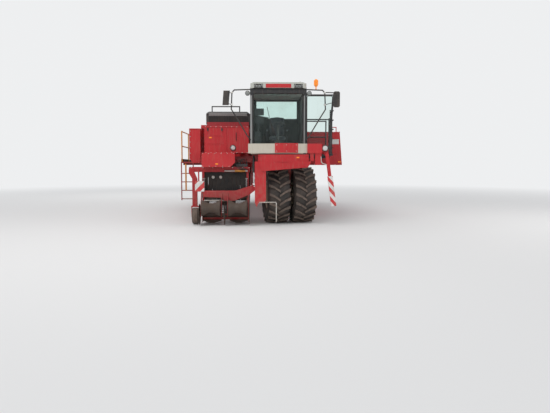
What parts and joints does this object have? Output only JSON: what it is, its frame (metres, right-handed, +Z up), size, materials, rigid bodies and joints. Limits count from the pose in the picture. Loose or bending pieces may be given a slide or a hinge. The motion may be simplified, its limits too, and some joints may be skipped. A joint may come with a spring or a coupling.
{
  "type": "potato harvester",
  "caption": "Self-propelled potato harvester: cab over twin front wheels, offset digging unit, rod webs, elevator, picking platform and side bunker; joints turn, steer, lift and tip.",
  "frame": {"origin": "on the ground, under the middle of the machine's bounding box", "axes": "-Y is the way it drives, +X is the driver's left, +Z is up"},
  "size_m": [5.24, 10.2, 3.8475],
  "materials": {
    "red_paint": "gloss",
    "dark_red_paint": "satin",
    "cream_paint": "satin",
    "black_paint": "satin",
    "bare_steel": "satin",
    "worn_steel": "matte",
    "tyre_rubber": "matte",
    "sheet_rubber": "matte",
    "clear_glass": "gloss",
    "lamp_lens": "gloss",
    "amber_plastic": "gloss",
    "seat_fabric": "matte",
    "orange_paint": "satin"
  },
  "bodies": {
    "machine": {"chassis": "dark_red_paint", "rear_axle": "dark_red_paint", "cab_frame": "black_paint", "cab_glass": "clear_glass", "cab_roof": "cream_paint", "seat": "seat_fabric", "controls": "black_paint", "bumper": "cream_paint", "red_front_panels": "red_paint", "fender": "red_paint", "lamps": "lamp_lens", "mirrors": "black_paint", "beacon": "amber_plastic", "width_board": "red_paint", "feeler_bar": "bare_steel", "cab_deck": "black_paint", "front_housing": "red_paint", "intake_cover": "red_paint", "side_housing": "red_paint", "fill_belt": "black_paint", "picking_table": "black_paint", "side_deck": "black_paint", "deck_rails": "orange_paint", "elevator": "red_paint", "second_web": "worn_steel", "channel_walls": "red_paint", "engine_hood": "red_paint", "engine": "bare_steel", "tanks": "black_paint", "exhaust": "bare_steel"},
    "steer_unit": {"steer_yoke": "dark_red_paint"},
    "front_wheels": {"front_tyres": "tyre_rubber", "front_rims": "cream_paint"},
    "knuckle_left": {"knuckle_left": "bare_steel"},
    "knuckle_right": {"knuckle_right": "bare_steel"},
    "rear_wheel_left": {"rear_tyre_left": "tyre_rubber", "rear_rim_left": "cream_paint"},
    "rear_wheel_right": {"rear_tyre_right": "tyre_rubber", "rear_rim_right": "cream_paint"},
    "digger": {"digger_frame": "red_paint", "shares": "worn_steel", "first_web": "worn_steel", "intake_curtain": "sheet_rubber"},
    "ridge_roller_outer": {"ridge_roller_outer": "worn_steel"},
    "ridge_roller_inner": {"ridge_roller_inner": "worn_steel"},
    "coulter_outer": {"coulter_outer": "worn_steel"},
    "coulter_middle": {"coulter_middle": "worn_steel"},
    "coulter_inner": {"coulter_inner": "worn_steel"},
    "depth_wheel": {"depth_wheel": "tyre_rubber"},
    "lift_barrel": {"lift_barrel": "black_paint"},
    "lift_rod": {"lift_rod": "bare_steel"},
    "bunker": {"bunker": "red_paint"},
    "bunker_end": {"bunker_end": "red_paint"},
    "tip_barrels": {"tip_barrels": "black_paint"},
    "tip_rods": {"tip_rods": "bare_steel"},
    "cab_door": {"door_frame": "black_paint", "door_glass": "clear_glass"},
    "cab_ladder": {"cab_ladder": "black_paint"}
  },
  "joints": [
    {"name": "front_steering", "type": "hinge", "parent": "machine", "child": "steer_unit", "pos_m": [0.89, -3.95, 1.68], "axis": [0, 0, 1], "range_deg": [-58, 42]},
    {"name": "front_roll", "type": "hinge", "parent": "steer_unit", "child": "front_wheels", "pos_m": [0.89, -3.95, 0.78], "axis": [0.9898, 0.1426, 0], "continuous": true},
    {"name": "rear_steering_left", "type": "hinge", "parent": "machine", "child": "knuckle_left", "pos_m": [0.86, 2.55, 0.93], "axis": [0, 0, 1], "range_deg": [-12, 12]},
    {"name": "rear_steering_right", "type": "hinge", "parent": "machine", "child": "knuckle_right", "pos_m": [-0.86, 2.55, 0.93], "axis": [0, 0, 1], "range_deg": [-12, 12]},
    {"name": "rear_roll_left", "type": "hinge", "parent": "knuckle_left", "child": "rear_wheel_left", "pos_m": [1.3, 2.55, 0.93], "axis": [1, 0, 0], "continuous": true},
    {"name": "rear_roll_right", "type": "hinge", "parent": "knuckle_right", "child": "rear_wheel_right", "pos_m": [-1.3, 2.55, 0.93], "axis": [1, 0, 0], "continuous": true},
    {"name": "digger_lift", "type": "hinge", "parent": "machine", "child": "digger", "pos_m": [-0.86, -1.4, 1.27], "axis": [-1, 0, 0], "range_deg": [0, 5]},
    {"name": "ridge_roller_outer_spin", "type": "hinge", "parent": "digger", "child": "ridge_roller_outer", "pos_m": [-1.218, -4.8, 0.47], "axis": [1, 0, 0], "continuous": true},
    {"name": "ridge_roller_inner_spin", "type": "hinge", "parent": "digger", "child": "ridge_roller_inner", "pos_m": [-0.502, -4.8, 0.47], "axis": [1, 0, 0], "continuous": true},
    {"name": "coulter_outer_spin", "type": "hinge", "parent": "digger", "child": "coulter_outer", "pos_m": [-1.528, -4.8, 0.305], "axis": [1, 0, 0], "continuous": true},
    {"name": "coulter_middle_spin", "type": "hinge", "parent": "digger", "child": "coulter_middle", "pos_m": [-0.86, -4.8, 0.305], "axis": [1, 0, 0], "continuous": true},
    {"name": "coulter_inner_spin", "type": "hinge", "parent": "digger", "child": "coulter_inner", "pos_m": [-0.198, -4.8, 0.305], "axis": [1, 0, 0], "continuous": true},
    {"name": "depth_wheel_roll", "type": "hinge", "parent": "digger", "child": "depth_wheel", "pos_m": [-1.67, -4.47, 0.232], "axis": [1, 0, 0], "continuous": true},
    {"name": "lift_barrel_swing", "type": "hinge", "parent": "machine", "child": "lift_barrel", "pos_m": [-0.075, -4.56, 1.85], "axis": [-1, 0, 0], "range_deg": [0, 1.47]},
    {"name": "lift_rod_slide", "type": "slide", "parent": "lift_barrel", "child": "lift_rod", "axis": [0, 0.0263, 0.9997], "range_m": [0, 0.2795]},
    {"name": "bunker_tip", "type": "hinge", "parent": "machine", "child": "bunker", "pos_m": [0.02, -0.6, 1.94], "axis": [0, -1, 0], "range_deg": [0, 15]},
    {"name": "bunker_end_fold", "type": "hinge", "parent": "bunker", "child": "bunker_end", "pos_m": [1.52, -0.6, 1.66], "axis": [0, -1, 0], "range_deg": [0, 60]},
    {"name": "tip_barrel_swing", "type": "hinge", "parent": "machine", "child": "tip_barrels", "pos_m": [0.73, -0.6, 1.46], "axis": [0, -1, 0], "range_deg": [0, 23.93]},
    {"name": "tip_rod_slide", "type": "slide", "parent": "tip_barrels", "child": "tip_rods", "axis": [0.9755, 0, 0.2198], "range_m": [0, 0.1882]},
    {"name": "cab_door_swing", "type": "hinge", "parent": "machine", "child": "cab_door", "pos_m": [1.339, -4.08, 2], "axis": [0, 0, 1], "range_deg": [-90, 0]},
    {"name": "cab_ladder_fold", "type": "hinge", "parent": "machine", "child": "cab_ladder", "pos_m": [2.188, -3.23, 1.922], "axis": [0, 1, 0], "range_deg": [0, 178]}
  ],
  "couplings": [
    {"joint": "rear_steering_right", "follows": "rear_steering_left", "ratio": 1},
    {"joint": "lift_barrel_swing", "follows": "digger_lift", "ratio": 0.28037},
    {"joint": "lift_rod_slide", "follows": "digger_lift", "m_per_rad": 3.1802},
    {"joint": "tip_barrel_swing", "follows": "bunker_tip", "ratio": 1.5822},
    {"joint": "tip_rod_slide", "follows": "bunker_tip", "m_per_rad": 0.7111}
  ]
}
